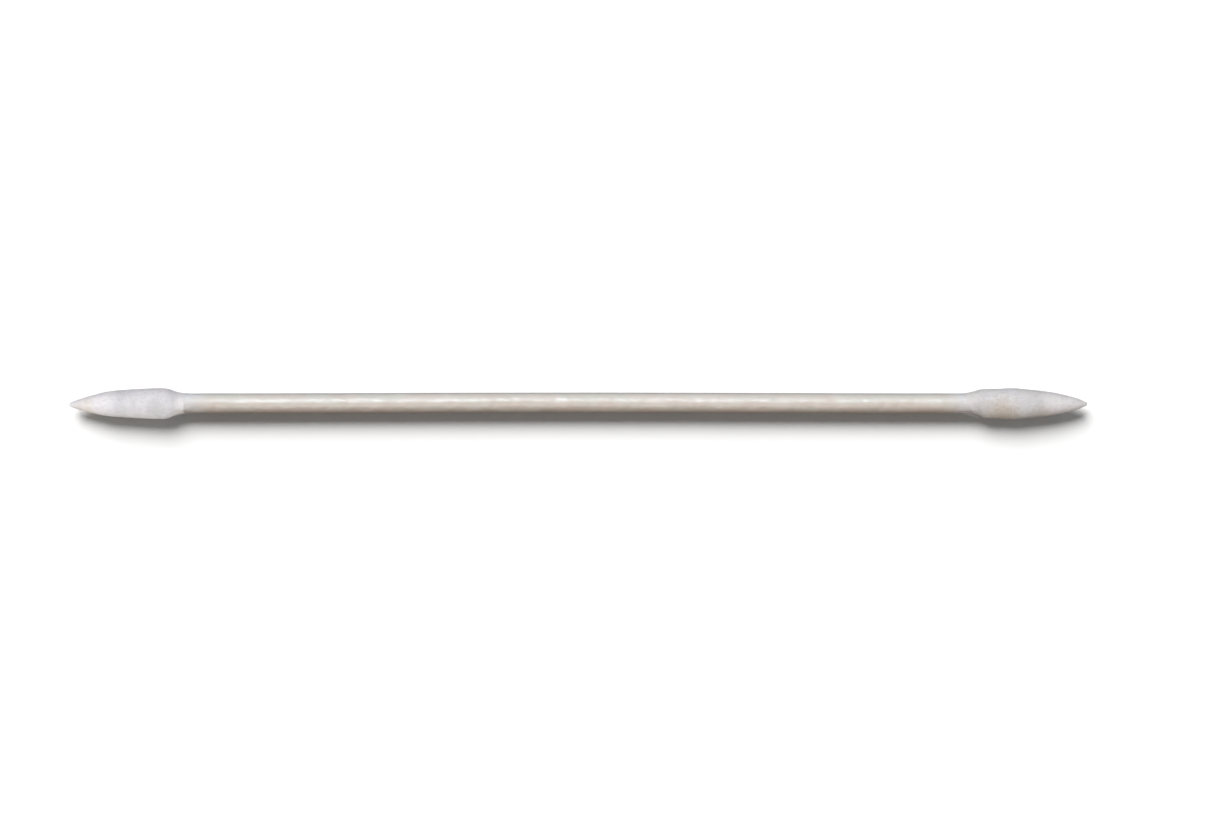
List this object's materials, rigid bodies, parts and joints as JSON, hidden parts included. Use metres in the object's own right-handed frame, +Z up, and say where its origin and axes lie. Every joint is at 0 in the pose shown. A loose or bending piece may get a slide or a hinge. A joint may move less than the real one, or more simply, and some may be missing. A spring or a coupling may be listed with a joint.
{
  "type": "double-ended pointed cotton swab",
  "caption": "Slim double-ended blending swab: a rolled paper stick with a pointed, sized cotton tip wound on each end, lying flat.",
  "frame": {"origin": "on the surface the swab lies on, straight under the middle of its length", "axes": "+X along the swab from its left point to its right point, +Z up from the surface it lies on, +Y across it"},
  "size_m": [0.15, 0.0046, 0.0045],
  "materials": {
    "rolled_paper": "satin",
    "dried_glue": "satin",
    "wound_cotton": "matte",
    "sized_cotton": "matte"
  },
  "bodies": {
    "root": {"paper_stick": "rolled_paper", "seam_glue_film": "dried_glue", "tip_glue_left": "dried_glue", "tip_glue_right": "dried_glue", "cotton_tip_left": "wound_cotton", "cotton_tip_right": "wound_cotton", "sizing_skin_left": "sized_cotton", "sizing_skin_right": "sized_cotton"}
  },
  "joints": []
}
